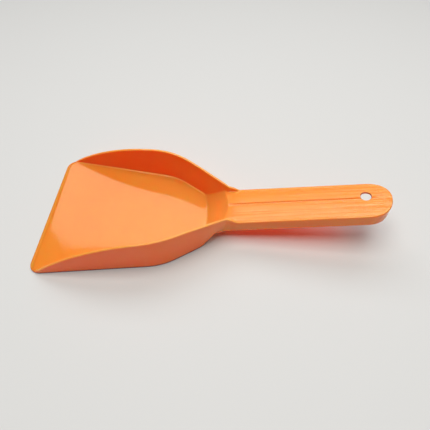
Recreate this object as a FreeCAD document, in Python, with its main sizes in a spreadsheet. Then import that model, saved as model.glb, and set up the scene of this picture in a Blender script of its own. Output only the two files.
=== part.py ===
"""Hand scoop: one plastic moulding, drawn as the six regions that its creases divide it into.

Frame, in millimetres: X runs from the front lip to the end of the handle, Y points to the left side,
Z points up. The origin is under the middle of the scoop, on the surface that it stands on.

The pan is a drafted form (a loft between a floor outline and a wider outline above it) with a second form
inside it, one wall thickness in. The rims of the side walls are one arc in side view, so a cylinder that
lies across the pan trims them. The ramp behind the floor is bowed, so it lies between two concentric
cylinders that lean with it. The handle is a channel, open below, that rises towards its end.
"""
import FreeCAD, Part
import math
import os

import Sketcher

# Driving dimensions: alias, value in millimetres or degrees, what it is.
DIMENSIONS = [
    ("overall_length", 270.0, "front lip to the end of the handle"),
    ("lip_half_width", 56.0, "half width of the front lip"),
    ("bend_from_lip", 100.5, "where the side walls turn in towards the neck"),
    ("bend_half_width", 43.4, "half width of the floor at that bend"),
    ("neck_from_lip", 151.6, "where the walls reach the handle"),
    ("neck_floor_half_width", 11.0, "half width of the floor outline carried on to the neck"),
    ("flare_length", 6.4, "length in which the handle widens behind the neck"),
    ("bend_radius_low", 50.0, "radius of the bend in the floor outline"),
    ("bend_radius_high", 85.0, "radius of the bend in the upper outline"),
    ("lip_corner_radius", 9.5, "rounding of the two front corners in plan"),
    ("form_height", 38.0, "height of the upper outline above the floor outline"),
    ("front_lean", 0.4, "how far the front of the upper outline stands out"),
    ("bend_lean", 0.6, "how far the bend of the upper outline stands out"),
    ("neck_lean", 4.3, "how far the neck of the upper outline stands out"),
    ("wall_thickness", 1.8, "thickness of the side walls"),
    ("floor_thickness", 2.0, "thickness of the floor"),
    ("rim_radius", 150.0, "radius of the rim arc in side view"),
    ("rim_top_from_lip", 99.0, "where the rim is highest"),
    ("rim_height", 34.0, "height of the rim there"),
    ("lip_bevel_length", 2.8, "how far the bevel of the front lip runs back"),
    ("lip_edge_height", 0.8, "height of the blunt front edge below the bevel"),
    ("ramp_foot_from_lip", 131.5, "where the ramp leaves the floor, on the centre line"),
    ("ramp_angle", 52.0, "slope of the ramp"),
    ("ramp_bow_radius", 99.0, "radius of the bow of the ramp"),
    ("ramp_thickness", 2.0, "thickness of the ramp"),
    ("deck_height", 22.0, "height of the edge of the deck at the neck"),
    ("handle_slope", 9.6, "angle by which the handle rises"),
    ("handle_half_width", 16.0, "half width of the handle behind the neck"),
    ("handle_end_half_width", 15.3, "half width of the handle near its end"),
    ("skirt_neck_half_width", 15.8, "half width of the skirt where it meets the ramp"),
    ("end_radius", 14.6, "rounding of the end of the handle in plan"),
    ("deck_crown", 2.6, "how much the middle of the deck stands above its edges"),
    ("deck_thickness", 2.2, "thickness of the deck"),
    ("skirt_depth", 10.8, "depth of the skirt below the edge of the deck"),
    ("skirt_thickness", 2.0, "thickness of the skirt"),
    ("groove_width", 5.0, "width of the groove along the deck"),
    ("groove_depth", 0.8, "depth of the groove"),
    ("groove_start", 7.0, "start of the groove behind the neck"),
    ("groove_end_gap", 8.0, "distance from the groove to the end of the handle"),
    ("hole_radius", 3.9, "radius of the hanging hole"),
    ("hole_from_end", 18.5, "middle of the hanging hole to the end of the handle"),
    ("hole_offset", 2.2, "middle of the hanging hole to the left of the handle's middle"),
]

REACH = 400.0   # cutting forms run this far, well past the scoop on every side

document = FreeCAD.newDocument("hand_scoop")
sheet = document.addObject("Spreadsheet::Sheet", "dims")
for row, (alias, value, meaning) in enumerate(DIMENSIONS, start=1):
    sheet.set(f"A{row}", meaning)
    sheet.set(f"B{row}", str(value))
    sheet.setAlias(f"B{row}", alias)
document.recompute()


class Size:
    """A number with the sheet expression that gives it, so that sums of sizes stay bound to the sheet."""

    def __init__(self, value, text):
        self.value = value
        self.text = text

    def combined(self, other, sign, value):
        return Size(value, f"({self.text} {sign} {other.text})")

    def __add__(self, other):
        other = sized(other)
        return self.combined(other, "+", self.value + other.value)

    def __sub__(self, other):
        other = sized(other)
        return self.combined(other, "-", self.value - other.value)

    def __mul__(self, other):
        other = sized(other)
        return self.combined(other, "*", self.value * other.value)

    def __truediv__(self, other):
        other = sized(other)
        return self.combined(other, "/", self.value / other.value)

    def __neg__(self):
        return Size(-self.value, f"(-1 * {self.text})")


def sized(number):
    """A plain number as a Size."""
    return number if isinstance(number, Size) else Size(float(number), repr(float(number)))


def size(alias):
    """The size that the sheet holds under this alias."""
    return Size(float(sheet.get(alias)), f"dims.{alias}")


def sine(angle):
    return Size(math.sin(math.radians(angle.value)), f"sin({angle.text} * 1 deg)")


def cosine(angle):
    return Size(math.cos(math.radians(angle.value)), f"cos({angle.text} * 1 deg)")


def from_lip(distance):
    """X of a place that lies this far behind the front lip."""
    return distance - size("overall_length") / 2


def bind(item, property_name, amount):
    """Bind one property of an object to a size."""
    item.setExpression(property_name, sized(amount).text)


def place(item, x, y, z, turn=0.0, axis=(0.0, 1.0, 0.0)):
    """Put an object at (x, y, z), turned about an axis by an angle in degrees."""
    item.Placement = FreeCAD.Placement(
        FreeCAD.Vector(sized(x).value, sized(y).value, sized(z).value),
        FreeCAD.Rotation(FreeCAD.Vector(*axis), sized(turn).value))
    for letter, amount in zip("xyz", (x, y, z)):
        bind(item, f".Placement.Base.{letter}", amount)
    if isinstance(turn, Size):
        bind(item, ".Placement.Rotation.Angle", turn)


def outline(name, corners, upright=False):
    """Closed sketch through (across, up, radius) corners; a corner with a radius is a tangent arc.

    The sketch lies in the XY plane, or stands in the YZ plane when upright is true.
    """
    sketch = document.addObject("Sketcher::SketchObject", name)
    if upright:
        sketch.Placement.Rotation = FreeCAD.Rotation(FreeCAD.Vector(1, 1, 1), 120)
    count = len(corners)
    spots = [FreeCAD.Vector(across.value, up.value, 0) for across, up, radius in corners]
    arrive, leave = [], []
    for index, (across, up, radius) in enumerate(corners):
        spot = spots[index]
        back = (spots[index - 1] - spot).normalize()
        ahead = (spots[(index + 1) % count] - spot).normalize()
        half_angle = back.getAngle(ahead) / 2
        reach = radius.value / math.tan(half_angle) if radius else 0.0
        arrive.append(spot + back * reach)
        leave.append(spot + ahead * reach)
    lines = [sketch.addGeometry(Part.LineSegment(leave[index], arrive[(index + 1) % count]), False)
             for index in range(count)]
    for index, (across, up, radius) in enumerate(corners):
        before, after = lines[index - 1], lines[index]
        if not radius:
            sketch.addConstraint(Sketcher.Constraint("Coincident", before, 2, after, 1))
            fixed, end = after, 1
        else:
            spot = spots[index]
            middle_way = ((arrive[index] + leave[index]) * 0.5 - spot).normalize()
            half_angle = (arrive[index] - spot).getAngle(leave[index] - spot) / 2
            centre = spot + middle_way * (radius.value / math.sin(half_angle))
            crest = centre - middle_way * radius.value
            arc = Part.Arc(arrive[index], crest, leave[index])
            turn = sketch.addGeometry(arc, False)
            begins_first = sketch.getPoint(turn, 1).distanceToPoint(arrive[index]) < 1e-6
            first, last = (1, 2) if begins_first else (2, 1)
            sketch.addConstraint(Sketcher.Constraint("Tangent", before, 2, turn, first))
            sketch.addConstraint(Sketcher.Constraint("Tangent", turn, last, after, 1))
            bound = sketch.addConstraint(Sketcher.Constraint("Radius", turn, radius.value))
            bind(sketch, f"Constraints[{bound}]", radius)
            fixed, end = sketch.addGeometry(Part.Point(spot), True), 1
            sketch.addConstraint(Sketcher.Constraint("PointOnObject", fixed, 1, before))
            sketch.addConstraint(Sketcher.Constraint("PointOnObject", fixed, 1, after))
        for kind, amount in (("DistanceX", across), ("DistanceY", up)):
            bound = sketch.addConstraint(Sketcher.Constraint(kind, fixed, end, amount.value))
            bind(sketch, f"Constraints[{bound}]", amount)
    return sketch


def mirrored(corners):
    """One side's corners, front to back, followed by the same corners on the other side."""
    other_side = [(x, -y, radius) for x, y, radius in reversed(corners)]
    return corners + other_side


def pan_outline(name, lean_front, lean_bend, lean_neck, bend_radius):
    """Plan outline of the pan as far back as the full width of the handle."""
    return outline(name, mirrored([
        (from_lip(sized(0.0)), size("lip_half_width") + lean_front, size("lip_corner_radius")),
        (from_lip(size("bend_from_lip")), size("bend_half_width") + lean_bend, bend_radius),
        (from_lip(size("neck_from_lip")), size("neck_floor_half_width") + lean_neck, None),
        (from_lip(size("neck_from_lip") + size("flare_length")), size("handle_half_width"), None),
    ]))


def loft(name, lower, upper):
    """Solid between two closed outlines."""
    body = document.addObject("Part::Loft", name)
    body.Sections = [lower, upper]
    body.Solid = True
    body.Ruled = True
    return body


def inset(name, sketch, amount):
    """The outline moved inwards by an amount, with its corners kept sharp."""
    inner = document.addObject("Part::Offset2D", name)
    inner.Source = sketch
    inner.Join = "Intersection"
    inner.Value = -amount.value
    bind(inner, "Value", -amount)
    return inner


def extrusion(name, sketch, direction, length):
    """Solid that a closed sketch sweeps along a direction given by three sizes."""
    body = document.addObject("Part::Extrusion", name)
    body.Base = sketch
    body.DirMode = "Custom"
    body.Dir = FreeCAD.Vector(*[sized(part).value for part in direction])
    for letter, part in zip("xyz", direction):
        bind(body, f"Dir.{letter}", part)
    body.Solid = True
    body.LengthFwd = sized(length).value
    bind(body, "LengthFwd", length)
    return body


def cylinder(name, radius, height):
    body = document.addObject("Part::Cylinder", name)
    bind(body, "Radius", radius)
    bind(body, "Height", height)
    return body


def block(name, length, width, height):
    body = document.addObject("Part::Box", name)
    bind(body, "Length", length)
    bind(body, "Width", width)
    bind(body, "Height", height)
    return body


def cut(name, base, tool):
    body = document.addObject("Part::Cut", name)
    body.Base, body.Tool = base, tool
    return body


def common(name, base, tool):
    body = document.addObject("Part::Common", name)
    body.Base, body.Tool = base, tool
    return body


def fuse(name, base, tool):
    body = document.addObject("Part::Fuse", name)
    body.Base, body.Tool = base, tool
    return body


def pan_forms():
    """The drafted form of the pan, and the ring of wall around it."""
    lower = pan_outline("floor_outline", sized(0.0), sized(0.0), sized(0.0), size("bend_radius_low"))
    upper = pan_outline("upper_outline", size("front_lean"), size("bend_lean"), size("neck_lean"),
                        size("bend_radius_high"))
    place(upper, 0.0, 0.0, size("form_height"))
    lower_inner = inset("floor_outline_inside", lower, size("wall_thickness"))
    upper_inner = inset("upper_outline_inside", upper, size("wall_thickness"))
    outer = loft("pan_outer_form", lower, upper)
    inner = loft("pan_inner_form", lower_inner, upper_inner)
    return outer, inner


def ramp_cylinder(name, radius):
    """Cylinder whose far side is a face of the ramp: its axis leans as the ramp does."""
    body = cylinder(name, radius, sized(REACH))
    angle = size("ramp_angle")
    axis_x = (from_lip(size("ramp_foot_from_lip")) - size("floor_thickness") * cosine(angle) / sine(angle)
              - size("ramp_bow_radius") / sine(angle))
    below = sized(REACH / 3)
    place(body, axis_x - below * cosine(angle), 0.0, -(below * sine(angle)), sized(90.0) - angle)
    return body


def sloping_zone(name, top_drop, bottom_drop, half_width, flat_below=False):
    """Prism along the rising handle: its top is the roof of the deck lowered by top_drop.

    Its bottom is the same roof lowered by bottom_drop, or a flat face bottom_drop below the deck's edge.
    """
    slope = size("handle_slope")
    start = size("neck_from_lip") / 2
    rise_so_far = (size("neck_from_lip") - start) * sine(slope) / cosine(slope)
    edge = size("deck_height") - rise_so_far
    ridge = edge + size("deck_crown")
    eaves = ridge - size("deck_crown") * half_width / size("handle_half_width")
    corners = [(-half_width, eaves - top_drop, None), (sized(0.0), ridge - top_drop, None),
               (half_width, eaves - top_drop, None)]
    if flat_below:
        corners += [(half_width, edge - bottom_drop, None), (-half_width, edge - bottom_drop, None)]
    else:
        corners += [(half_width, eaves - bottom_drop, None), (sized(0.0), ridge - bottom_drop, None),
                    (-half_width, eaves - bottom_drop, None)]
    section = outline(f"{name}_section", corners, upright=True)
    bind(section, ".Placement.Base.x", from_lip(start))
    return extrusion(name, section, (cosine(slope), sized(0.0), sine(slope)), sized(REACH))


def handle_plan(name, margin, half_width_margin):
    """Upright prism on the plan of the handle, from inside the pan to the handle's rounded end."""
    neck = from_lip(size("neck_from_lip"))
    end = size("overall_length") / 2 - margin
    plan = outline(f"{name}_outline", mirrored([
        (neck - size("neck_from_lip") / 6, size("skirt_neck_half_width") - half_width_margin, None),
        (neck, size("skirt_neck_half_width") - half_width_margin, None),
        (neck + size("flare_length"), size("handle_half_width") - half_width_margin, None),
        (end, size("handle_end_half_width") - half_width_margin, size("end_radius") - margin),
    ]))
    return extrusion(name, plan, (sized(0.0), sized(0.0), sized(1.0)), sized(REACH / 4))



def build_walls(ring, ramp_back, under_deck):
    """The two side walls: the ring of wall below the rim arc, less what lies behind the ramp."""
    rim = cylinder("rim_form", size("rim_radius"), sized(REACH))
    place(rim, from_lip(size("rim_top_from_lip")), REACH / 2, size("rim_height") - size("rim_radius"),
          90.0, (1.0, 0.0, 0.0))
    trimmed = common("trimmed_ring", ring, rim)
    behind_ramp = cut("under_deck_behind_ramp", under_deck, ramp_back)
    both = cut("both_walls", trimmed, behind_ramp)
    walls = []
    for name, y in (("left_side_wall", 0.0), ("right_side_wall", -REACH)):
        side = block(f"{name}_half", sized(REACH), sized(REACH), sized(REACH))
        place(side, -REACH / 2, y, -REACH / 2)
        wall = common(name, both, side)
        wall.Label = name
        walls.append(wall)
    return walls


def build_floor(outer, walls, ramp_front):
    """Flat floor in front of the ramp, between the walls, with a bevel along the front lip."""
    slab = block("floor_slab", sized(REACH), sized(REACH), size("floor_thickness"))
    place(slab, -REACH / 2, -REACH / 2, 0.0)
    blank = common("floor_before_ramp", common("floor_blank", outer, slab), ramp_front)
    bevel_rise = size("floor_thickness") - size("lip_edge_height")
    section = outline("lip_bevel_section", [
        (sized(0.0), sized(0.0), None),
        (size("lip_bevel_length"), bevel_rise, None),
        (sized(0.0), bevel_rise, None),
    ])
    section.Placement = FreeCAD.Placement(FreeCAD.Vector(0, REACH / 2, 0),
                                          FreeCAD.Rotation(FreeCAD.Vector(1, 0, 0), 90))
    bind(section, ".Placement.Base.x", from_lip(sized(0.0)))
    bind(section, ".Placement.Base.z", size("lip_edge_height"))
    bevel = extrusion("lip_bevel", section, (sized(0.0), sized(-1.0), sized(0.0)), sized(REACH))
    bevelled = cut("bevelled_floor", blank, bevel)
    between_walls = cut("floor_between_left", bevelled, walls[0])
    floor = cut("pan_floor", between_walls, walls[1])
    floor.Label = "pan_floor"
    return floor


def build_ramp(inner, ramp_front, ramp_back, under_deck):
    """Bowed ramp from the ground up to the roof of the deck, between the walls."""
    bowed_plate = cut("bowed_plate", ramp_back, ramp_front)
    above_ground = block("above_ground", sized(REACH), sized(REACH), sized(REACH))
    place(above_ground, -REACH / 2, -REACH / 2, 0.0)
    plate = common("ramp_above_ground", bowed_plate, above_ground)
    between_walls = common("ramp_between_walls", plate, inner)
    behind_bend = block("behind_bend", sized(REACH), sized(REACH), sized(REACH))
    place(behind_bend, from_lip(size("bend_from_lip")), -REACH / 2, 0.0)
    rear_plate = common("rear_ramp_plate", between_walls, behind_bend)
    ramp = common("back_ramp", rear_plate, under_deck)
    ramp.Label = "back_ramp"
    return ramp


def build_deck(outer, ramp_back):
    """Roof-shaped top plate of the handle, with its groove and its hanging hole."""
    zone = sloping_zone("deck_zone", sized(0.0), size("deck_thickness"), size("lip_half_width"))
    plan = fuse("deck_plan", outer, handle_plan("handle_form", sized(0.0), sized(0.0)))
    blank = cut("deck_blank", common("deck_plate", plan, zone), ramp_back)
    slope = size("handle_slope")
    radius = (size("groove_width") * size("groove_width") / 4 + size("groove_depth") * size("groove_depth")) \
        / (size("groove_depth") * 2.0)
    run = size("overall_length") - size("neck_from_lip") - size("groove_start") - size("groove_end_gap")
    groove = cylinder("groove_form", radius, run / cosine(slope))
    ridge = (size("deck_height") + size("deck_crown") - size("groove_depth") + radius
             + size("groove_start") * sine(slope) / cosine(slope))
    place(groove, from_lip(size("neck_from_lip") + size("groove_start")), 0.0, ridge, sized(90.0) - slope)
    grooved = cut("grooved_deck", blank, groove)
    hole = cylinder("hanging_hole", size("hole_radius"), sized(REACH))
    hole_from_neck = size("overall_length") - size("hole_from_end") - size("neck_from_lip")
    plate_middle = (size("deck_height") + size("deck_crown") - size("deck_thickness") / 2
                    - size("hole_offset") * size("deck_crown") / size("handle_half_width")
                    + hole_from_neck * sine(slope) / cosine(slope))
    below = sized(REACH / 2)
    place(hole, from_lip(size("neck_from_lip")) + hole_from_neck + below * sine(slope), size("hole_offset"),
          plate_middle - below * cosine(slope), -slope)
    deck = cut("handle_deck", grooved, hole)
    deck.Label = "handle_deck"
    return deck


def build_skirt(ramp_back):
    """Band under the edge of the deck, from the ramp round the end of the handle and back."""
    zone = sloping_zone("skirt_zone", size("deck_thickness"), size("skirt_depth"), size("lip_half_width"),
                        flat_below=True)
    outside = handle_plan("skirt_outside", sized(0.0), sized(0.0))
    inside = handle_plan("skirt_inside", size("skirt_thickness"), size("skirt_thickness"))
    band = cut("skirt_band", outside, inside)
    sloped_band = common("sloped_skirt_band", band, zone)
    skirt = cut("handle_skirt", sloped_band, ramp_back)
    skirt.Label = "handle_skirt"
    return skirt


def write_parts(pieces):
    """Check every object, then write one file per region."""
    document.recompute()
    for item in document.Objects:
        if "Invalid" in item.State or "Error" in item.State:
            raise RuntimeError(f"{item.Name} could not be built: {item.State}")
    for piece in pieces:
        shape = piece.Shape
        if shape.isNull() or not shape.isValid() or len(shape.Solids) != 1:
            raise RuntimeError(f"{piece.Label} is not one valid solid")
    os.makedirs("parts", exist_ok=True)
    for piece in pieces:
        piece.Shape.exportStep(os.path.join("parts", f"{piece.Label}.step"))
        print(piece.Label, round(piece.Shape.Volume), "mm3")


pan_outer, pan_inner = pan_forms()
wall_ring = cut("wall_ring", pan_outer, pan_inner)
front_face = ramp_cylinder("ramp_front_form", size("ramp_bow_radius"))
back_face = ramp_cylinder("ramp_back_form", size("ramp_bow_radius") + size("ramp_thickness"))
below_roof = sloping_zone("below_roof", sized(0.0), sized(REACH / 4), size("lip_half_width"))
side_walls = build_walls(wall_ring, back_face, below_roof)
scoop = side_walls + [
    build_floor(pan_outer, side_walls, front_face),
    build_ramp(pan_inner, front_face, back_face, below_roof),
    build_deck(pan_outer, back_face),
    build_skirt(back_face),
]
write_parts(scoop)
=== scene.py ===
"""Looks of a one-piece plastic hand scoop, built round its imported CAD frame.

Everything is in metres, in the frame of the CAD model: X from the front lip to the end of the handle,
Y to the left side, Z up, origin under the middle on the surface that the scoop stands on. In this file
a place along the scoop is also given as its distance behind the front lip.
"""

import math

import bmesh
import bpy
import numpy as np
from bpy.props import FloatProperty, FloatVectorProperty, PointerProperty
from mathutils import Matrix, Vector


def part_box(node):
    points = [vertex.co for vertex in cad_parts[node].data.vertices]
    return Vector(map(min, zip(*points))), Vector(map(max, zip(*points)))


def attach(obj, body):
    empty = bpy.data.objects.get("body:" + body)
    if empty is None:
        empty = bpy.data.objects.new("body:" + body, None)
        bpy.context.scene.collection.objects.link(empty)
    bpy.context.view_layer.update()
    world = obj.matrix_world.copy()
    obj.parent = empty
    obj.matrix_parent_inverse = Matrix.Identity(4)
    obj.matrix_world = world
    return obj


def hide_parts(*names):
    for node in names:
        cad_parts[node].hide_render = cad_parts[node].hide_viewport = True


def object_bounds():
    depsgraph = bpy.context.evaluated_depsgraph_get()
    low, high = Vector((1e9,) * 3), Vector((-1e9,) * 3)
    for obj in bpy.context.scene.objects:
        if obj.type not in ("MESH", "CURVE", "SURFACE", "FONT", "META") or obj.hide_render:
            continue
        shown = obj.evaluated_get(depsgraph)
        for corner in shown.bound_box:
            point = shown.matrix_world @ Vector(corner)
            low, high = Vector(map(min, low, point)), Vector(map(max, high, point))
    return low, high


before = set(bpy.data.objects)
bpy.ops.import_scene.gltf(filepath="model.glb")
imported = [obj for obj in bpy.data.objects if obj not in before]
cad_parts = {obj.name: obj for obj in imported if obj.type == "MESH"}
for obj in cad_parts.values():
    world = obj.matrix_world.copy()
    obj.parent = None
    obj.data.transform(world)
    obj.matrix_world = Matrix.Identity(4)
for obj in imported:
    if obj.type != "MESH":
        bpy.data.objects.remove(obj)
CAD_LOW, CAD_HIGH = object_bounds()

bl_info = {
    "name": "Hand scoop",
    "version": (1, 0, 0),
    "blender": (4, 5, 0),
    "location": "View3D > Sidebar > Scoop",
    "description": "Moulds a plastic hand scoop and lays it on a studio table",
    "category": "Object",
}

FLOOR_LOW, FLOOR_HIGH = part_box("pan_floor")
WALL_LOW, WALL_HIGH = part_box("left_side_wall")
DECK_LOW, DECK_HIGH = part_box("handle_deck")


def length(name, description, default):
    """A length property in metres."""
    return FloatProperty(name=name, description=description, default=default, min=0.0, precision=5,
                         unit="LENGTH", subtype="DISTANCE")


def angle(name, description, degrees):
    """An angle property, given in degrees."""
    return FloatProperty(name=name, description=description, default=math.radians(degrees),
                         unit="ROTATION", subtype="ANGLE")


def colour(name, description, default):
    """A linear colour property."""
    return FloatVectorProperty(name=name, description=description, default=default, size=3,
                               min=0.0, max=1.0, subtype="COLOR")


class ScoopSizes(bpy.types.PropertyGroup):
    """Sizes of the moulding."""
    overall: length("Overall length", "Front lip to handle end", CAD_HIGH.x - CAD_LOW.x)
    lip_half: length("Lip half width", "Half width of the front lip", 0.0560)
    bend_at: length("Bend", "Where the side walls turn in, behind the lip", 0.1005)
    bend_half: length("Bend half width", "Half width of the floor at the bend", 0.0434)
    neck_at: length("Neck", "Where the walls reach the handle, behind the lip", 0.1516)
    neck_half: length("Neck half width", "Half width of the floor outline at the neck", 0.0110)
    flare: length("Flare", "Length in which the handle widens behind the neck", 0.0064)
    bend_low: length("Low bend radius", "Bend radius of the floor outline", 0.050)
    bend_high: length("High bend radius", "Bend radius of the upper outline", 0.085)
    corner: length("Lip corner", "Rounding of the front corners in plan", 0.0095)
    form_height: length("Form height", "Height of the upper outline", 0.038)
    front_lean: length("Front lean", "How far the upper outline stands out in front", 0.0004)
    bend_lean: length("Bend lean", "How far the upper outline stands out at the bend", 0.0006)
    neck_lean: length("Neck lean", "How far the upper outline stands out at the neck", 0.0043)
    wall: length("Wall thickness", "Thickness of the side walls", 0.0018)
    floor: length("Floor thickness", "Thickness of the floor", FLOOR_HIGH.z - FLOOR_LOW.z)
    rim_radius: length("Rim radius", "Radius of the rim arc in side view", 0.150)
    rim_top_at: length("Rim top", "Where the rim is highest, behind the lip", 0.099)
    rim_height: length("Rim height", "Height of the rim at its top", WALL_HIGH.z)
    bevel: length("Lip bevel", "How far the bevel of the lip runs back", 0.0040)
    lip_edge: length("Lip edge", "Height of the blunt front edge", 0.0015)
    foot_at: length("Ramp foot", "Where the ramp leaves the floor, behind the lip", 0.1315)
    ramp_angle: angle("Ramp angle", "Slope of the ramp", 52.0)
    ramp_bow: length("Ramp bow", "Radius of the bow of the ramp", 0.099)
    deck_edge: length("Deck height", "Height of the edge of the deck at the neck", 0.0220)
    slope: angle("Handle slope", "Angle by which the handle rises", 9.6)
    handle_half: length("Handle half width", "Half width of the handle behind the neck", 0.0160)
    end_half: length("End half width", "Half width of the handle near its end", 0.0153)
    skirt_neck: length("Skirt half width", "Half width of the skirt at the neck", 0.0160)
    end_length: length("End rounding", "Length of the rounded end in plan", 0.0175)
    crown: length("Deck crown", "How far the middle of the deck stands above its edges", 0.0026)
    deck: length("Deck thickness", "Thickness of the deck", 0.0022)
    skirt_depth: length("Skirt depth", "Depth of the skirt below the edge of the deck", 0.0108)
    skirt: length("Skirt thickness", "Thickness of the skirt", 0.0020)
    groove_half: length("Groove half width", "Half the width of the groove along the deck", 0.0009)
    groove_depth: length("Groove depth", "Depth of the groove", 0.0006)
    hole: length("Hole radius", "Radius of the hanging hole", 0.0039)
    hole_from_end: length("Hole from end", "Middle of the hole to the end of the handle", 0.0185)
    hole_offset: length("Hole offset", "Middle of the hole to the left of the handle's middle", 0.0022)
    inner_fillet: length("Inner fillet", "Fillet between floor and wall", 0.0010)
    foot_blend: length("Foot blend", "Softness of the joint between floor and ramp", 0.0016)
    crease_blend: length("Crease blend", "Softness of the crease between ramp and deck", 0.0005)
    rim_round: length("Rim rounding", "Rounding of the rim's two edges", 0.00055)
    deck_round: length("Deck rounding", "Rounding of the deck's edge", 0.0009)
    foot_round: length("Foot rounding", "Rounding of the lower outer edge", 0.0004)


class ScoopLooks(bpy.types.PropertyGroup):
    """Colours of the plastic, of the light and shade painted on it, and of the studio."""
    plastic: colour("Plastic", "Colour of the solid plastic", (0.99, 0.25, 0.028))
    # lightens the real flow lines, mottling, scratches and streaks, and is also painted light on the
    # up-facing faces to the rear and on the ramp
    plastic_pale_and_lit: colour("Pale plastic", "Colour where flow lines and scuffs lighten it, and to the rear",
                          (0.99, 0.33, 0.060))
    # painted shade: upright faces take this deeper colour, which fades to the plain colour towards the rear
    # on the outside
    plastic_upright_shade: colour("Deep plastic", "Colour of the upright faces, where the wall is thin",
                         (0.99, 0.150, 0.004))
    # painted shade: the inner faces of the side walls take this darker colour, fading part way towards the
    # rear
    plastic_inner_shade: colour("Inner walls", "Colour of the inner faces of the side walls", (0.86, 0.135, 0.045))
    # painted highlight: the bright line where the floor meets the walls
    plastic_joint_highlight: colour("Joint", "Colour of the bright line between floor and walls", (1.0, 0.40, 0.04))
    # painted shade along the groove and the lip's bevel
    plastic_shade: colour("Shade", "Colour along the groove and behind the lip", (0.78, 0.190, 0.012))
    # painted shadow: the dark line along the foot of the upright outer faces
    plastic_foot_shadow: colour("Foot", "Colour of the dark line along the foot of the walls", (0.34, 0.020, 0.008))
    # painted highlight along the rims and the lip's front edge, where light catches the rounded edges
    plastic_edge_highlight: colour("Edge", "Colour of the worn edges", (1.0, 0.38, 0.07))
    glow: colour("Glow", "How far each colour spreads inside the plastic, red the furthest",
                 (1.0, 0.12, 0.05))
    # painted glow: emission along the line where the floor meets the walls
    joint_painted_glow: colour("Joint glow", "Light that gathers in the joint of floor and walls", (1.0, 0.50, 0.22))
    passed: colour("Passed light", "Colour of the light under the handle", (1.0, 0.02, 0.01))
    roughness: FloatProperty(name="Roughness", description="Roughness of the moulded surface", default=0.06)
    table: colour("Table", "Colour of the table", (0.640, 0.634, 0.612))
    sky: colour("Room", "Colour of the light of the room", (1.0, 0.995, 0.98))


# ---- shapes --------------------------------------------------------------------------------------------
GROOVE_OFFSET = 0.0004          # the groove lies this far left of the middle
GROOVE_LEAD, GROOVE_FULL = 0.0040, 0.0015       # it starts and is full this far before the neck
GROOVE_FADE, GROOVE_STOP = 0.012, 0.003         # it fades out this far before the end
RIDGE_SOFTNESS = 0.0010         # rounding of the ridge along the deck
RAMP_CLEAR = 0.04               # further than this before its foot the ramp plays no part
RAMP_LEAN = 1.27                # the bow of the ramp is drawn square to its slope, so it leads by this factor
RAMP_UNDERSIDE = 0.00125        # measured upright, the ramp is this much thicker than the floor
UNDER_FOOT_BLEND, UNDER_DECK_BLEND = 0.001, 0.0005
WING_RISE, WING_RISE_SPAN = 0.0013, (0.130, 0.150)      # the rims rise over their arc before the neck
WING_FALL, WING_FALL_SPAN = 0.0035, (0.151, 0.163)      # and fall to the handle behind it
WING_BLEND, CREST_BLEND = 0.0011, 0.00005
HEM_ROUND = 0.0005              # rounding of the skirt's lower edge
STRETCH_LEVEL = 0.6             # part of the rim's height at which the walls' slant is measured
ROUNDS = 9                      # times that heights and widths are settled against each other
JOIN = 4e-6                     # points nearer than this are one point


def soft_max(a, b, blend):
    """Larger of two heights, with a hyperbola of size blend where they cross."""
    return 0.5 * (a + b + np.sqrt((a - b) ** 2 + blend ** 2))


def soft_min(a, b, blend):
    """Smaller of two heights, rounded in the same way."""
    return -soft_max(-a, -b, blend)


def smooth_step(low, high, value):
    """0 below low, 1 above high, and 3t^2 - 2t^3 between."""
    t = np.clip((value - low) / (high - low), 0.0, 1.0)
    return t * t * (3.0 - 2.0 * t)


def outline_half(s, x, front, bend, neck, radius):
    """Half width of a plan outline at x: a line, an arc tangent to both lines, and a line to the neck.

    Before the first corner radius it follows a quarter circle, and behind the neck it widens to the handle.
    """
    tilt_1 = math.atan((bend - front) / s.bend_at)
    tilt_2 = math.atan((neck - bend) / (s.neck_at - s.bend_at))
    reach = radius * math.tan(abs(tilt_2 - tilt_1) / 2)
    start = s.bend_at - reach * math.cos(tilt_1)
    stop = s.bend_at + reach * math.cos(tilt_2)
    centre_x = start + radius * math.sin(tilt_1)
    centre_y = bend - reach * math.sin(tilt_1) - radius * math.cos(tilt_1)
    line_1 = front + x * math.tan(tilt_1)
    line_2 = bend + (x - s.bend_at) * math.tan(tilt_2)
    arc = centre_y + np.sqrt(np.maximum(radius ** 2 - (x - centre_x) ** 2, 0.0))
    half = np.where(x < start, line_1, np.where(x < stop, arc, line_2))
    inward = np.clip(s.corner - x, 0.0, s.corner)
    return half - (s.corner - np.sqrt(np.maximum(s.corner ** 2 - inward ** 2, 0.0)))


def handle_half(s, x):
    """Half width of the handle at x, for the straight part."""
    run = s.overall - s.neck_at - s.flare
    taper = s.handle_half + (s.end_half - s.handle_half) * (x - s.neck_at - s.flare) / run
    widening = s.skirt_neck + (s.handle_half - s.skirt_neck) * (x - s.neck_at) / s.flare
    return np.where(x < s.neck_at, s.skirt_neck, np.where(x < s.neck_at + s.flare, widening, taper))


def wall_half(s, x, z):
    """Half width of the outside at (x, z): the drafted pan form up to the neck, and the handle behind it."""
    at = np.minimum(x, s.neck_at)
    low = outline_half(s, at, s.lip_half, s.bend_half, s.neck_half, s.bend_low)
    high = outline_half(s, at, s.lip_half + s.front_lean, s.bend_half + s.bend_lean,
                        s.neck_half + s.neck_lean, s.bend_high)
    pan = np.maximum(low + (high - low) * z / s.form_height, s.skirt_neck)
    behind = handle_half(s, x) + (pan - s.skirt_neck) * (1.0 - smooth_step(0.0, s.flare, x - s.neck_at))
    return np.where(x < s.neck_at, pan, behind)


def stretch(s, x):
    """Factor from a length square to the wall to the same length along Y."""
    step = 2e-5
    level = STRETCH_LEVEL * s.rim_height
    tilt = (wall_half(s, x + step, level) - wall_half(s, x - step, level)) / (2 * step)
    return np.where(x < s.corner, 1.0, np.sqrt(1.0 + tilt ** 2))


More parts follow.
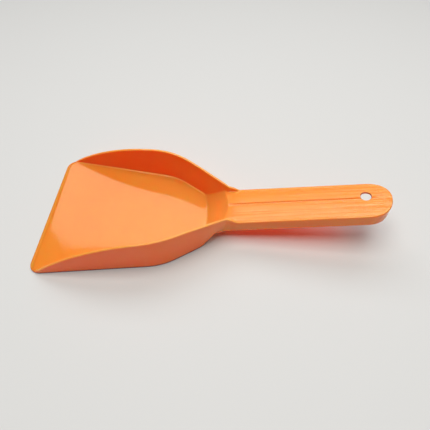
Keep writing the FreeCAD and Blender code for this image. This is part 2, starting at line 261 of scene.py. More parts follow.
def drop(depth, radius):
    """How far a rounded edge of that radius falls at a depth in from the edge: r - sqrt(r^2 - (r - d)^2)."""
    short = radius - np.clip(depth, 0.0, radius)
    return radius - np.sqrt(np.maximum(radius ** 2 - short ** 2, 0.0))


def edge_distance(s, x, inset):
    """Distance to the outline of the pan, of a place that lies inset in from it along Y.

    Beside the straight edges it is the inset or x, and at the front corners it is measured from the circle.
    """
    ahead = np.maximum(s.corner - x, 0.0)
    across = np.sqrt(np.maximum(s.corner ** 2 - ahead ** 2, 0.0)) - inset
    return s.corner - np.hypot(ahead, np.maximum(across, 0.0))


def ramp_lead(s, y):
    """How far the bowed ramp comes forward at y: the height of an arc over its chord."""
    return RAMP_LEAN * s.ramp_bow * (1.0 - np.sqrt(np.maximum(1.0 - (y / s.ramp_bow) ** 2, 0.0)))


def deck_edge(s, x):
    """Height of the edge of the deck: a straight line that rises behind the neck."""
    return s.deck_edge + (x - s.neck_at) * math.tan(s.slope)


def rim(s, x):
    """Height of the rim: an arc in side view."""
    run = np.clip((x - s.rim_top_at) / s.rim_radius, -1.0, 1.0)
    return s.rim_height - s.rim_radius * (1.0 - np.sqrt(1.0 - run ** 2))


def deck_top(s, x, y):
    """Top of the deck: two flanks that meet in the middle, with a shallow groove along them."""
    side = np.abs(y)
    along = smooth_step(s.neck_at - GROOVE_LEAD, s.neck_at - GROOVE_FULL, x)
    along = along * (1.0 - smooth_step(s.overall - GROOVE_FADE, s.overall - GROOVE_STOP, x))
    across = 1.0 - smooth_step(0.2 * s.groove_half, s.groove_half, np.abs(y - GROOVE_OFFSET))
    groove = s.groove_depth * across * along
    ridge = s.crown * (1.0 - np.sqrt(side ** 2 + RIDGE_SOFTNESS ** 2) / s.handle_half)
    return deck_edge(s, x) + ridge - groove


def top_height(s, x, y, inset, edge_radius):
    """Height of the upper face: bevelled floor, then ramp, then deck, each softly joined to the next."""
    depth = edge_distance(s, x, inset)
    nose = 0.5 * s.lip_edge
    run = depth + 0.6 * np.maximum(x - 0.004, 0.0) - nose
    bevel = s.lip_edge + (s.floor - s.lip_edge) * np.clip(run / (s.bevel - nose), 0.0, 1.0)
    bevel = bevel - drop(depth, nose)
    ramp = s.floor + (x - s.foot_at + ramp_lead(s, y)) * math.tan(s.ramp_angle)
    pan = np.where(x < s.foot_at - RAMP_CLEAR, bevel, soft_max(bevel, ramp, s.foot_blend))
    deck = deck_top(s, x, y) - drop(inset, edge_radius)
    return np.where(x < s.foot_at - RAMP_CLEAR, pan, soft_min(pan, deck, s.crease_blend))


def under_height(s, x, y, inset, edge_radius):
    """Height of the lower face: flat under the floor, then under the ramp, then under the deck."""
    ramp = (x - s.foot_at + ramp_lead(s, y)) * math.tan(s.ramp_angle) - RAMP_UNDERSIDE
    deck = deck_edge(s, x) + s.crown * (1.0 - np.abs(y) / s.handle_half) - s.deck
    rising = soft_min(soft_max(0.0, ramp, UNDER_FOOT_BLEND), deck, UNDER_DECK_BLEND)
    face = np.where(x < s.foot_at - RAMP_CLEAR, 0.0, rising)
    return face + drop(edge_distance(s, x, inset), edge_radius)


def crease_at(s, y):
    """Where the ramp meets the deck at y: the crossing of two straight slopes."""
    steep, shallow = math.tan(s.ramp_angle), math.tan(s.slope)
    rise = s.deck_edge + s.crown * (1.0 - np.abs(y) / s.handle_half) - s.floor - s.neck_at * shallow
    return (rise + steep * (s.foot_at - ramp_lead(s, y))) / (steep - shallow)


def warp(s, station, y):
    """How far forward a station is pulled at y, so that the grid follows the foot and the crease."""
    crease = float(crease_at(s, 0.0))
    at_foot = ramp_lead(s, y)
    at_crease = crease - crease_at(s, np.minimum(np.abs(y), s.handle_half))
    marks = [s.foot_at - 0.012, s.foot_at, crease, s.neck_at]
    rise = np.clip((station - marks[0]) / (marks[1] - marks[0]), 0.0, 1.0)
    middle = np.clip((station - marks[1]) / (marks[2] - marks[1]), 0.0, 1.0)
    fall = np.clip((station - marks[2]) / (marks[3] - marks[2]), 0.0, 1.0)
    return (rise * at_foot * (1.0 - middle) + middle * at_crease) * (1.0 - fall)


def stations(s):
    """Places of the cross sections behind the lip, and the sweep angles of the handle's end.

    They lie closer where the form turns, and on the front corners at equal angles of the quarter circle.
    """
    start = s.overall - s.end_length
    front = s.corner * (1.0 - np.cos(np.linspace(0.0, math.pi / 2, 16)))
    ends = [(0.084, 36), (s.foot_at - 0.012, 26), (s.foot_at - 0.003, 8), (s.foot_at + 0.003, 14),
            (s.neck_at - 0.006, 14), (s.neck_at, 18), (s.neck_at + 0.008, 24), (s.neck_at + 0.014, 8),
            (start, 44)]
    starts = [s.corner] + [end for end, _ in ends]
    straight = [front] + [np.linspace(low, high, count + 1)[1:] for low, (high, count) in zip(starts, ends)]
    sweep = np.linspace(0.0, math.pi / 2, 29)[1:]
    along = np.concatenate(straight + [np.full(len(sweep), start)])
    turn = np.concatenate([np.zeros(len(along) - len(sweep)), sweep])
    return along[:, None], turn[:, None]


def moulding_rows(s):
    """Left half of the moulding as a grid: one row of the arrays per station, one column per place round it.

    A cross section runs from the middle of the upper face out to the wall, up the wall, over the rim, down
    the outside, in under the pan, round the skirt and back to the middle of the lower face. The end of the
    handle is the same section swept round a superellipse. Heights and widths depend on each other, so each
    group of columns is settled by repeating both a few times.
    """
    along, turn = stations(s)
    power = 2.0 / 2.3
    forward, sideways = np.sin(turn) ** power, np.abs(np.cos(turn)) ** power
    sideways[-1] = 0.0
    half_end = float(handle_half(s, np.array(s.overall - s.end_length)))

    def settle(inset_of, height_of):
        """Columns x, y, z for an inset (a function of the half width) and a height (a function of place)."""
        z = np.full_like(along, 0.02) + 0.0 * inset_of(np.full_like(along, 0.02))
        x = along + 0.0 * z
        for _ in range(ROUNDS):
            half = wall_half(s, x, z)
            inset = inset_of(half)
            y = (half - inset) * sideways
            x = np.where(turn > 0, along + (s.end_length - inset) * forward, along - warp(s, along, y))
            half = np.where(turn > 0, half_end, wall_half(s, x, z))
            z = height_of(x, (half - inset) * sideways, inset)
        return x, (half - inset) * sideways, z

    factor = stretch(s, along)
    wall = s.wall * factor
    edge_round = s.rim_round + (s.deck_round - s.rim_round) * smooth_step(0.0, s.flare, along - s.neck_at)
    edge_round = np.where(along < s.corner, 0.5 * s.lip_edge, edge_round)
    foot_round = s.foot_round * (1.0 - smooth_step(s.neck_at - 0.008, s.neck_at, along))

    def upper(x, y, inset):
        """Height of the upper face."""
        return top_height(s, x, y, inset / factor, edge_round)

    def lower(x, y, inset):
        """Height of the lower face."""
        return under_height(s, x, y, inset / factor, foot_round)

    def crest(x, y, inset):
        """Height of the rim: its arc, raised before the neck and lowered behind it, or the deck if higher."""
        wing = rim(s, x) + WING_RISE * smooth_step(*WING_RISE_SPAN, x)
        wing = wing - WING_FALL * smooth_step(*WING_FALL_SPAN, x)
        top = soft_max(wing, deck_edge(s, x), WING_BLEND) - drop(inset / factor, edge_round)
        return soft_max(top, upper(x, y, inset), CREST_BLEND)

    _, _, root = settle(lambda half: wall, upper)
    _, _, peak = settle(lambda half: wall, crest)
    tall = np.maximum(peak - root, 0.0)
    fillet = np.minimum(s.inner_fillet, 0.45 * tall)
    inner_round = np.minimum(s.rim_round, 0.45 * tall)
    skirt_out = np.maximum(wall_half(s, along, root) - handle_half(s, along), 0.0)
    skirt_out = np.where(along < s.neck_at, skirt_out, 0.0)
    skirt_in = skirt_out + s.skirt * factor
    _, _, roof_out = settle(lambda half: skirt_out, lower)
    _, _, roof_in = settle(lambda half: skirt_in, lower)
    groups = []

    def rows(count, inset_of, height_of):
        """Adds a group of columns; both functions are also given t, which runs from 0 to 1 over the group."""
        t = np.linspace(0.0, 1.0, count)[None, :]
        groups.append(settle(lambda half: inset_of(half, t), lambda x, y, inset: height_of(x, y, inset, t)))

    quarter = math.pi / 2
    web_end = wall + fillet * factor
    rows(46, lambda half, t: half - t * (half - web_end), lambda x, y, inset, t: upper(x, y, inset))
    rows(6, lambda half, t: wall + fillet * factor * (1.0 - np.sin(t * quarter)),
         lambda x, y, inset, t: upper(x, y, inset) + fillet * (1.0 - np.cos(t * quarter)))
    low, high = root + fillet, np.maximum(peak, root) - inner_round
    rows(8, lambda half, t: wall + 0.0 * t, lambda x, y, inset, t: low + (high - low) * t)
    rows(5, lambda half, t: wall - inner_round * factor * (1.0 - np.cos(t * quarter)),
         lambda x, y, inset, t: high + (crest(x, y, inset) - high) * np.sin(t * quarter))
    inner_edge, outer_edge = wall - inner_round * factor, edge_round * factor
    rows(5, lambda half, t: inner_edge + (outer_edge - inner_edge) * t,
         lambda x, y, inset, t: crest(x, y, inset))
    rows(8, lambda half, t: outer_edge * (1.0 - np.sin(t * quarter)),
         lambda x, y, inset, t: crest(x, y, inset))
    _, _, side_top = settle(lambda half: 0.0 * wall, crest)
    _, _, side_foot = settle(lambda half: 0.0 * wall, lower)
    rows(9, lambda half, t: 0.0 * t, lambda x, y, inset, t: side_top + (side_foot - side_top) * t)
    foot_in = np.minimum(foot_round * factor, skirt_out)
    rows(6, lambda half, t: foot_in * (1.0 - np.cos(t * quarter)), lambda x, y, inset, t: lower(x, y, inset))
    rows(9, lambda half, t: foot_in + (skirt_out - foot_in) * t, lambda x, y, inset, t: lower(x, y, inset))

    def hem(x):
        """Height of the skirt's lower edge."""
        return np.maximum(deck_edge(s, x) - s.skirt_depth, 0.0)

    tall_out = np.maximum(roof_out - hem(along), 0.0)
    tall_in = np.maximum(roof_in - hem(along), 0.0)
    round_out, round_in = np.minimum(HEM_ROUND, 0.45 * tall_out), np.minimum(HEM_ROUND, 0.45 * tall_in)

    def hem_out(x, y, inset):
        """The same height, but never above the lower face."""
        return np.minimum(hem(x), lower(x, y, inset))

    rows(8, lambda half, t: skirt_out + 0.0 * t,
         lambda x, y, inset, t: lower(x, y, inset)
         + (hem_out(x, y, inset) + round_out - lower(x, y, inset)) * t)
    rows(4, lambda half, t: skirt_out + round_out * factor * (1.0 - np.cos(t * quarter)),
         lambda x, y, inset, t: hem_out(x, y, inset) + round_out * (1.0 - np.sin(t * quarter)))
    rows(2, lambda half, t: skirt_out + round_out * factor
         + (skirt_in - round_in * factor - skirt_out - round_out * factor) * t,
         lambda x, y, inset, t: hem_out(x, y, inset))
    rows(4, lambda half, t: skirt_in - round_in * factor * (1.0 - np.sin(t * quarter)),
         lambda x, y, inset, t: hem_out(x, y, inset) + round_in * (1.0 - np.cos(t * quarter)))
    rows(8, lambda half, t: skirt_in + 0.0 * t,
         lambda x, y, inset, t: hem_out(x, y, inset) + round_in
         + (lower(x, y, inset) - hem_out(x, y, inset) - round_in) * t)
    rows(30, lambda half, t: skirt_in + (half - skirt_in) * t, lambda x, y, inset, t: lower(x, y, inset))
    return [np.concatenate([group[axis] for group in groups], axis=1) for axis in range(3)]


def build_moulding(s, name):
    """Mesh of the moulding: the left half, its mirror image, and doubled points joined.

    It is closed all round but for a narrow slit along the front edge. There the upper face starts at half
    the height of the lip and the lower face at its own rounding, and nothing joins the two.
    """
    x, y, z = moulding_rows(s)
    count = len(x)
    left = np.stack([x + CAD_LOW.x, y, z], axis=-1)
    right = left * np.array([1.0, -1.0, 1.0])
    ring = np.concatenate([left, right[:, ::-1]], axis=1)
    around = ring.shape[1]
    index = np.arange(count * around).reshape(count, around)
    following = np.roll(index, -1, axis=1)
    quads = np.stack([index[:-1], following[:-1], following[1:], index[1:]], axis=-1).reshape(-1, 4)
    mesh = bpy.data.meshes.new(name)
    mesh.from_pydata(ring.reshape(-1, 3).tolist(), [], quads.tolist())
    grid = bmesh.new()
    grid.from_mesh(mesh)
    bmesh.ops.remove_doubles(grid, verts=grid.verts, dist=JOIN)
    bmesh.ops.dissolve_degenerate(grid, edges=grid.edges, dist=JOIN)
    bmesh.ops.recalc_face_normals(grid, faces=grid.faces)
    if grid.calc_volume(signed=True) < 0:
        bmesh.ops.reverse_faces(grid, faces=grid.faces)
    grid.to_mesh(mesh)
    grid.free()
    piece = bpy.data.objects.new(name, mesh)
    bpy.context.scene.collection.objects.link(piece)
    return piece


def hole_cutter(s, name):
    """Turned body that cuts the hanging hole, square to the deck, with a small flare at both faces."""
    at = s.overall - s.hole_from_end
    axis = np.array([-math.sin(s.slope), 0.0, math.cos(s.slope)])
    lower = s.crown * s.hole_offset / s.handle_half
    middle = np.array([CAD_LOW.x + at, s.hole_offset, deck_edge(s, at) + s.crown - lower])
    heights = np.array([-0.0060, -s.deck - 0.0002, -s.deck + 0.0003, -0.0008, -0.0004, 0.0, 0.0007, 0.0060])
    widths = s.hole + np.array([0.0003, 0.0003, 0.0, 0.0, 0.00004, 0.0002, 0.0006, 0.0045])
    turn = np.linspace(0.0, 2 * math.pi, 72, endpoint=False)
    across = np.array([math.cos(s.slope), 0.0, math.sin(s.slope)])
    circle = np.cos(turn)[:, None] * across + np.sin(turn)[:, None] * np.array([0.0, 1.0, 0.0])
    rings = middle + heights[:, None, None] * axis + widths[:, None, None] * circle
    count, around = rings.shape[:2]
    index = np.arange(count * around).reshape(count, around)
    following = np.roll(index, -1, axis=1)
    quads = np.stack([index[:-1], following[:-1], following[1:], index[1:]], axis=-1).reshape(-1, 4)
    faces = quads.tolist() + [index[0, ::-1].tolist(), index[-1].tolist()]
    mesh = bpy.data.meshes.new(name)
    mesh.from_pydata(rings.reshape(-1, 3).tolist(), [], faces)
    piece = bpy.data.objects.new(name, mesh)
    bpy.context.scene.collection.objects.link(piece)
    return piece


def cut_away(piece, cutter):
    """Takes the cutter out of the piece for good, and removes the cutter."""
    modifier = piece.modifiers.new("cut", "BOOLEAN")
    modifier.operation = "DIFFERENCE"
    modifier.solver = "EXACT"
    modifier.object = cutter
    graph = bpy.context.evaluated_depsgraph_get()
    result = bpy.data.meshes.new_from_object(piece.evaluated_get(graph))
    piece.modifiers.clear()
    old = piece.data
    piece.data = result
    bpy.data.meshes.remove(old)
    bpy.data.objects.remove(cutter, do_unlink=True)


# ---- materials -----------------------------------------------------------------------------------------
class Value:
    """A number socket of a shader graph that can stand in a formula."""

    def __init__(self, graph, socket):
        self.graph = graph
        self.socket = socket

    def math(self, operation, *others):
        """This value put through a Math node with the others."""
        return self.graph.node("ShaderNodeMath", {"operation": operation}, [self, *others])

    def __add__(self, other):
        """This value plus the other."""
        return self.math("ADD", other)

    __radd__ = __add__

    def __mul__(self, other):
        """This value times the other."""
        return self.math("MULTIPLY", other)

    __rmul__ = __mul__

    def __sub__(self, other):
        """This value less the other."""
        return self.math("SUBTRACT", other)

    def __rsub__(self, other):
        """The other less this value."""
        return self.math("MULTIPLY", -1.0).math("ADD", other)

    def __truediv__(self, other):
        """This value over the other."""
        return self.math("DIVIDE", other)

    def power(self, other):
        """This value to a power."""
        return self.math("POWER", other)

    def ramp(self, low, high):
        """0 below low and 1 above high, smooth between."""
        return self.graph.node("ShaderNodeMapRange", {"interpolation_type": "SMOOTHSTEP", "clamp": True},
                               {"Value": self, "From Min": low, "From Max": high})


class Graph:
    """Builds the node tree of a material."""

    def __init__(self, name):
        self.material = bpy.data.materials.new(name)
        self.material.use_nodes = True
        self.tree = self.material.node_tree
        self.tree.nodes.clear()

    def node(self, kind, settings=None, inputs=None, output=0):
        """Makes a node: its settings first, then values or links for its sockets; returns one output."""
        node = self.tree.nodes.new(kind)
        for key, value in (settings or {}).items():
            setattr(node, key, value)
        pairs = enumerate(inputs) if isinstance(inputs, list) else (inputs or {}).items()
        for key, value in pairs:
            if isinstance(value, Value):
                self.tree.links.new(value.socket, node.inputs[key])
            else:
                node.inputs[key].default_value = value
        return Value(self, node.outputs[output])

    def place(self):
        """Object coordinates."""
        return self.node("ShaderNodeTexCoord", output="Object")

    def scaled(self, place, x, y, z):
        """A place scaled along the three axes."""
        return self.node("ShaderNodeVectorMath", {"operation": "MULTIPLY"}, [place, (x, y, z)])

    def axis(self, place, name):
        """One coordinate of a place."""
        return self.node("ShaderNodeSeparateXYZ", inputs=[place], output=name)

    def noise(self, place, scale, detail=2.0, roughness=0.5):
        """Noise with a mean of one half."""
        return self.node("ShaderNodeTexNoise", {"noise_dimensions": "3D"},
                         {"Vector": place, "Scale": scale, "Detail": detail, "Roughness": roughness})

    def mix(self, factor, a, b):
        """Colour a turning into colour b as the factor goes to 1."""
        a, b = (value if isinstance(value, Value) else (*value, 1.0) for value in (a, b))
        return self.node("ShaderNodeMix", {"data_type": "RGBA"}, {0: factor, 6: a, 7: b}, 2)

    def bump(self, height, distance, normal=None):
        """Normal that is tilted by a height field."""
        inputs = {"Height": height, "Distance": distance, "Strength": 1.0}
        if normal:
            inputs["Normal"] = normal
        return self.node("ShaderNodeBump", None, inputs)

    def finish(self, kind, inputs):
        """Shader of that kind to the material's output."""
        shader = self.node(kind, None, inputs)
        end = self.tree.nodes.new("ShaderNodeOutputMaterial")
        self.tree.links.new(shader.socket, end.inputs["Surface"])
        return self.material


# Where the masks of the plastic go from 0 to 1, in metres behind the lip, from the middle or above the table;
# most place painted light and shade
GROOVE_LINE, GROOVE_FROM, GROOVE_TO = (0.0003, 0.0008), (0.1478, 0.1492), (0.254, 0.266)
RAMP_FROM, RAMP_TO, RAMP_SIDE = (0.1270, 0.1330), (0.1500, 0.1520), (0.0100, 0.0300)
RIM_LINE, RIM_ABOVE, RIM_OUTSIDE = (0.0002, 0.0011), (0.0026, 0.0040), (0.0112, 0.0122)
LIP_LINE, BEVEL_FROM, BEVEL_TO = (0.0017, 0.0026), (0.0022, 0.0030), (0.0036, 0.0046)
JOINT_ABOVE, JOINT_BELOW, JOINT_TO = (0.0020, 0.0023), (0.0026, 0.0034), (0.124, 0.128)
FOOT_LINE, INSIDE = (0.0006, 0.0021), (0.0004, 0.0020)
REAR, INNER_FADE, OUTER_FADE = (0.020, 0.130), (0.080, 0.150), (0.080, 0.135)
# How upright a face is, as the part of its normal along Y, where a mask starts and where it is full. These
# masks place the painted shade on upright faces and the painted shadow along the foot
UPRIGHT, UPRIGHT_FOOT = (0.55, 0.85), (0.30, 0.60)
# How much each mark lightens or roughens the plastic, and how deep each bump is in metres. PALE_REAR is
# painted light on the up-facing faces to the rear; the other marks are real
PALE_FLOW, PALE_MOTTLE, PALE_SCRATCH, PALE_STREAKS, PALE_REAR = 0.10, 0.10, 0.12, 0.36, 0.52
ROUGH_MOTTLE, ROUGH_SCRATCH, ROUGH_STREAKS = 0.03, 0.18, 0.10
BUMP_PEEL, BUMP_DRAWN, BUMP_WAVES = 0.000010, 0.00018, 0.00006


def plastic_material(sizes, looks):
    """Glossy moulded plastic, with a colour that changes a little from place to place.

    The plastic is one colour in itself. Flow lines, mottling, scratches and drawn streaks on the handle are
    real marks.
    The other changes are painted light and shade: painted shade on upright faces, on the inner walls, along
    the groove and the bevel and in the hole, painted light on the up-facing faces to the rear and on the
    ramp, a painted highlight and painted glow where floor and walls join, a painted shadow along the foot,
    and painted highlights on rims and lip.
    """
    graph = Graph("orange_plastic")
    place = graph.place()
    x = graph.axis(place, "X") - CAD_LOW.x
    y = graph.axis(place, "Y")
    z = graph.axis(place, "Z")
    facing = graph.axis(graph.node("ShaderNodeTexCoord", output="Normal"), "Y")
    behind = x.ramp(sizes.neck_at - 0.002, sizes.neck_at + 0.006)

    run = ((x - sizes.rim_top_at) / sizes.rim_radius).power(2.0)
    crest = sizes.rim_height - sizes.rim_radius * (1.0 - (1.0 - run).power(0.5))
    side = y.math("ABSOLUTE")
    # painted highlight along the rim's upper edge, outside, up to the neck
    rim_highlight = 1.0 - (crest - z).ramp(*RIM_LINE)
    rim_highlight = rim_highlight * (1.0 - x.ramp(sizes.neck_at, sizes.neck_at + 0.006))
    rim_highlight = rim_highlight * z.ramp(*RIM_ABOVE) * side.ramp(*RIM_OUTSIDE)
    # painted shade in the groove along the deck
    off_groove = (y - GROOVE_OFFSET).math("ABSOLUTE")
    groove_shade = (1.0 - off_groove.ramp(*GROOVE_LINE)) * x.ramp(*GROOVE_FROM)
    groove_shade = groove_shade * (1.0 - x.ramp(*GROOVE_TO))
    # painted light on the ramp, away from the side walls
    ramp_painted_light = x.ramp(*RAMP_FROM) * (1.0 - x.ramp(*RAMP_TO)) * (1.0 - side.ramp(*RAMP_SIDE))
    # painted shadow along the foot of upright faces
    foot_shadow = (1.0 - z.ramp(*FOOT_LINE)) * facing.math("ABSOLUTE").ramp(*UPRIGHT_FOOT)
    # painted highlight along the lip's front edge
    lip_highlight = 1.0 - x.ramp(*LIP_LINE)
    # painted shade along the bevel behind the lip
    bevel_shade = x.ramp(*BEVEL_FROM) * (1.0 - x.ramp(*BEVEL_TO))
    inside = (facing * y * -1.0).ramp(*INSIDE)
    # painted highlight and painted glow in the fillet where the floor meets the walls
    joint = z.ramp(*JOINT_ABOVE) * (1.0 - z.ramp(*JOINT_BELOW)) * inside * (1.0 - x.ramp(*JOINT_TO))
    # painted shade on upright faces, a little less on the inner ones
    upright = facing.math("ABSOLUTE").ramp(*UPRIGHT) * (0.85 - inside * 0.20)
    # painted shade in the hanging hole's bore and the thin ring round it
    hole_x = x - (sizes.overall - sizes.hole_from_end)
    hole_y = y - sizes.hole_offset
    bore_shade = 1.0 - (hole_x * hole_x + hole_y * hole_y).power(0.5).ramp(sizes.hole + 0.0001, sizes.hole + 0.0004)

    peel = graph.noise(place, scale=260.0, detail=1.0)
    waves = graph.noise(place, scale=45.0, detail=1.0)
    mottle = graph.noise(place, scale=30.0, detail=3.0).ramp(0.35, 0.75)
    flow = graph.noise(graph.scaled(place, 12.0, 260.0, 120.0), scale=1.0, detail=2.0).ramp(0.60, 0.85)
    drawn = graph.noise(graph.scaled(place, 7.0, 620.0, 60.0), scale=1.0, detail=3.0)
    streaks = drawn.ramp(0.42, 0.66) * behind
    scratch = graph.noise(graph.scaled(place, 900.0, 160.0, 900.0), scale=1.0, detail=2.0)
    scratch = scratch.ramp(0.70, 0.82)

    # painted light: faces that are not upright grow paler towards the rear
    rear = x.ramp(*REAR) * (1.0 - upright)
    pale = flow * PALE_FLOW + mottle * PALE_MOTTLE + scratch * PALE_SCRATCH
    pale = pale + streaks * PALE_STREAKS + rear * PALE_REAR
    # painted shade on the inner faces fades part way towards the rear
    inner = graph.mix(x.ramp(*INNER_FADE) * 0.35, looks.plastic_inner_shade, looks.plastic)
    # the painted shade on the outer faces fades towards the rear
    outer = graph.mix(x.ramp(*OUTER_FADE) * 0.5, looks.plastic_upright_shade, looks.plastic)
    base = graph.mix(upright, looks.plastic, graph.mix(inside, outer, inner))
    base = graph.mix(pale, base, looks.plastic_pale_and_lit)
    # the painted light on the ramp
    base = graph.mix(ramp_painted_light * 0.6, base, looks.plastic_pale_and_lit)
    # painted shade along the groove and the bevel
    base = graph.mix((groove_shade * 0.9 + bevel_shade * 0.3).math("MINIMUM", 1.0), base, looks.plastic_shade)
    # the painted shadow along the foot
    base = graph.mix(foot_shadow, base, looks.plastic_foot_shadow)
    # the painted highlights on rims and lip
    base = graph.mix((rim_highlight + lip_highlight * 0.3).math("MINIMUM", 0.65), base, looks.plastic_edge_highlight)
    # the painted highlight where the floor meets the walls
    base = graph.mix(joint * 0.9, base, looks.plastic_joint_highlight)
    # the painted shade in the hole
    base = graph.mix(bore_shade, base, [0.45 * value for value in looks.plastic_upright_shade])
    rough = looks.roughness + mottle * ROUGH_MOTTLE + scratch * ROUGH_SCRATCH + streaks * ROUGH_STREAKS
    normal = graph.bump(peel, BUMP_PEEL)
    normal = graph.bump(drawn * behind, BUMP_DRAWN, normal)
    normal = graph.bump(waves, BUMP_WAVES, normal)
    return graph.finish("ShaderNodeBsdfPrincipled", {
        "Base Color": base,
        "Roughness": rough,
        "Normal": normal,
        # painted glow: emission along the joint of floor and walls
        "Emission Color": graph.mix(joint, (0.0, 0.0, 0.0), looks.joint_painted_glow),
        "Emission Strength": 0.16,
        "IOR": 1.49,
        "Specular Tint": (1.0, 0.95, 0.72, 1.0),
        "Subsurface Weight": 0.8,
        "Subsurface Radius": looks.glow,
        "Subsurface Scale": 0.006,
    })


def table_material(looks):
    """Matt pale table with a hardly visible grain."""
    graph = Graph("pale_table")
    place = graph.place()
    grain = graph.noise(place, scale=18.0, detail=3.0)
    base = graph.mix(grain * 0.12, looks.table, [0.96 * value for value in looks.table])
    rough = 0.75 + grain * 0.1
    return graph.finish("ShaderNodeBsdfPrincipled", {"Base Color": base, "Roughness": rough,
                                                     "Specular IOR Level": 0.3})


# ---- operators -----------------------------------------------------------------------------------------
PIECE = "scoop_moulding"
SHARP_ANGLE = math.radians(38.0)
TABLE_HALF, TABLE_LEVEL = 3.0, -0.0001      # the table lies a hair below the scoop
ROOM_STRENGTH = 0.07
COOL_WHITE, WARM_WHITE = (0.98, 1.0, 1.06), (1.0, 0.995, 0.98)
# Name, place, point it faces, size, power and colour of each softbox
SOFTBOXES = (
    ("back softbox", (0.0, 0.70, 0.99), (0.0, 0.0, 0.99), (1.52, 0.82), 11.0, COOL_WHITE),
    ("top softbox", (0.04, -0.02, 1.3), (0.04, 0.08, 0.0), (1.2, 0.76), 16.6, WARM_WHITE),
)
# Place, point it faces, size, power and spread of the light that stands for light passed through the handle
UNDER_PLACE, UNDER_AIM, UNDER_SIZE = (0.054, 0.0, 0.022), (0.062, 0.0, -0.03), (0.10, 0.022)
UNDER_POWER, UNDER_SPREAD = 0.0052, math.radians(120.0)
CAMERA_PLACE = (0.0259738117, -0.19016023, 0.302055895)
CAMERA_TURN = (0.679359853, -0.00682128826, 0.0550886579)
CAMERA_LENS, CAMERA_SHIFT = 35.9905396, (-0.0424116291, -0.102893025)


class SCOOP_OT_mould(bpy.types.Operator):
    """Build the one-piece moulding: pan, side walls, ramp, handle and skirt"""
    bl_idname = "scoop.mould"
    bl_label = "Mould the scoop"

    def execute(self, context):
        sizes = context.scene.scoop_sizes
        piece = build_moulding(sizes, PIECE)
        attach(piece, "root")
        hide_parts("pan_floor", "left_side_wall", "right_side_wall", "back_ramp", "handle_deck",
                    "handle_skirt")
        return {"FINISHED"}


class SCOOP_OT_pierce(bpy.types.Operator):
    """Cut the hanging hole through the end of the handle"""
    bl_idname = "scoop.pierce"
    bl_label = "Cut the hanging hole"

    def execute(self, context):
        piece = bpy.data.objects[PIECE]
        sizes = context.scene.scoop_sizes
        if not DECK_LOW.x < CAD_LOW.x + sizes.overall - sizes.hole_from_end < DECK_HIGH.x:
            raise RuntimeError("the hanging hole misses the deck")
        before = len(piece.data.polygons)
        cut_away(piece, hole_cutter(sizes, "hole_cutter"))
        if len(piece.data.polygons) == before:
            raise RuntimeError("the hanging hole was not cut")
        piece.data.shade_smooth()
        piece.data.set_sharp_from_angle(angle=SHARP_ANGLE)
        weighted = piece.modifiers.new("weighted normals", "WEIGHTED_NORMAL")
        weighted.keep_sharp = True
        weighted.weight = 60
        return {"FINISHED"}


class SCOOP_OT_finish(bpy.types.Operator):
    """Give the moulding its plastic"""
    bl_idname = "scoop.finish_plastic"
    bl_label = "Apply the plastic"

    def execute(self, context):
        piece = bpy.data.objects[PIECE]
        piece.data.materials.clear()
        piece.data.materials.append(plastic_material(context.scene.scoop_sizes, context.scene.scoop_looks))
        return {"FINISHED"}


def area_light(name, place, aim, size, power, tint):
    """A soft rectangular light at a place, turned to face another, with its first side level."""
    data = bpy.data.lights.new(name, "AREA")
    data.shape = "RECTANGLE"
    data.size, data.size_y = size
    data.energy = power
    data.color = tint
    light = bpy.data.objects.new(name, data)
    light.location = place
    away = (Vector(place) - Vector(aim)).normalized()
    across = Vector((1.0, 0.0, 0.0)) - away * away.x
    across.normalize()
    light.rotation_euler = Matrix((across, away.cross(across), away)).transposed().to_euler()
    light.visible_camera = False
    bpy.context.scene.collection.objects.link(light)
    return light


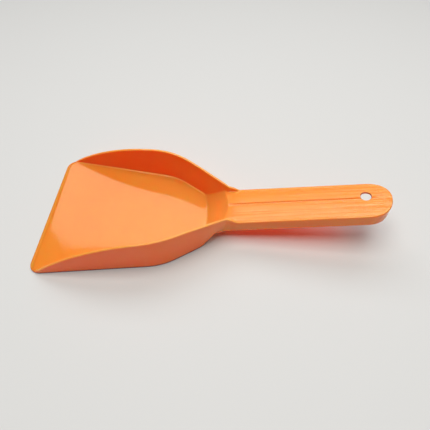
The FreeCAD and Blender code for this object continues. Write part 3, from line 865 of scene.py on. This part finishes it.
class SCOOP_OT_stage(bpy.types.Operator):
    """Lay the table, set the lights and place the camera"""
    bl_idname = "scoop.stage"
    bl_label = "Set the stage"

    def execute(self, context):
        scene = context.scene
        looks = scene.scoop_looks
        mesh = bpy.data.meshes.new("table")
        corners = [(-1, -1), (1, -1), (1, 1), (-1, 1)]
        points = [(TABLE_HALF * x, TABLE_HALF * y, TABLE_LEVEL) for x, y in corners]
        mesh.from_pydata(points, [], [(0, 1, 2, 3)])
        table = bpy.data.objects.new("table", mesh)
        scene.collection.objects.link(table)
        mesh.materials.append(table_material(looks))

        world = bpy.data.worlds.new("room")
        world.use_nodes = True
        room = world.node_tree.nodes["Background"]
        room.inputs["Color"].default_value = (*looks.sky, 1.0)
        room.inputs["Strength"].default_value = ROOM_STRENGTH
        scene.world = world
        for softbox in SOFTBOXES:
            area_light(*softbox)
        under = area_light("transmitted", UNDER_PLACE, UNDER_AIM, UNDER_SIZE, UNDER_POWER, looks.passed)
        under.data.spread = UNDER_SPREAD

        lens = bpy.data.cameras.new("camera")
        lens.sensor_width = 36.0
        lens.lens = CAMERA_LENS
        lens.shift_x, lens.shift_y = CAMERA_SHIFT
        lens.clip_start = 0.01
        camera = bpy.data.objects.new("camera", lens)
        camera.location, camera.rotation_euler = CAMERA_PLACE, CAMERA_TURN
        scene.collection.objects.link(camera)
        scene.camera = camera
        scene.view_settings.view_transform = "Standard"
        return {"FINISHED"}


class SCOOP_PT_panel(bpy.types.Panel):
    """Sidebar panel with the scoop's sizes, colours and steps"""
    bl_idname = "SCOOP_PT_panel"
    bl_label = "Hand scoop"
    bl_space_type = "VIEW_3D"
    bl_region_type = "UI"
    bl_category = "Scoop"

    def draw(self, context):
        layout = self.layout
        for group in (context.scene.scoop_sizes, context.scene.scoop_looks):
            column = layout.column(align=True)
            for key in group.__annotations__:
                column.prop(group, key)
        for step in STEPS:
            layout.operator(step.bl_idname)


STEPS = (SCOOP_OT_mould, SCOOP_OT_pierce, SCOOP_OT_finish, SCOOP_OT_stage)
CLASSES = (ScoopSizes, ScoopLooks, *STEPS, SCOOP_PT_panel)


def register():
    """Registers the add-on's classes and its settings."""
    for entry in CLASSES:
        bpy.utils.register_class(entry)
    bpy.types.Scene.scoop_sizes = PointerProperty(type=ScoopSizes)
    bpy.types.Scene.scoop_looks = PointerProperty(type=ScoopLooks)


def unregister():
    """Takes the add-on's settings and classes away again."""
    del bpy.types.Scene.scoop_looks
    del bpy.types.Scene.scoop_sizes
    for entry in reversed(CLASSES):
        bpy.utils.unregister_class(entry)


def main():
    """Runs every step in order."""
    register()
    bpy.ops.scoop.mould()
    bpy.ops.scoop.pierce()
    bpy.ops.scoop.finish_plastic()
    bpy.ops.scoop.stage()


if __name__ == "__main__":
    main()
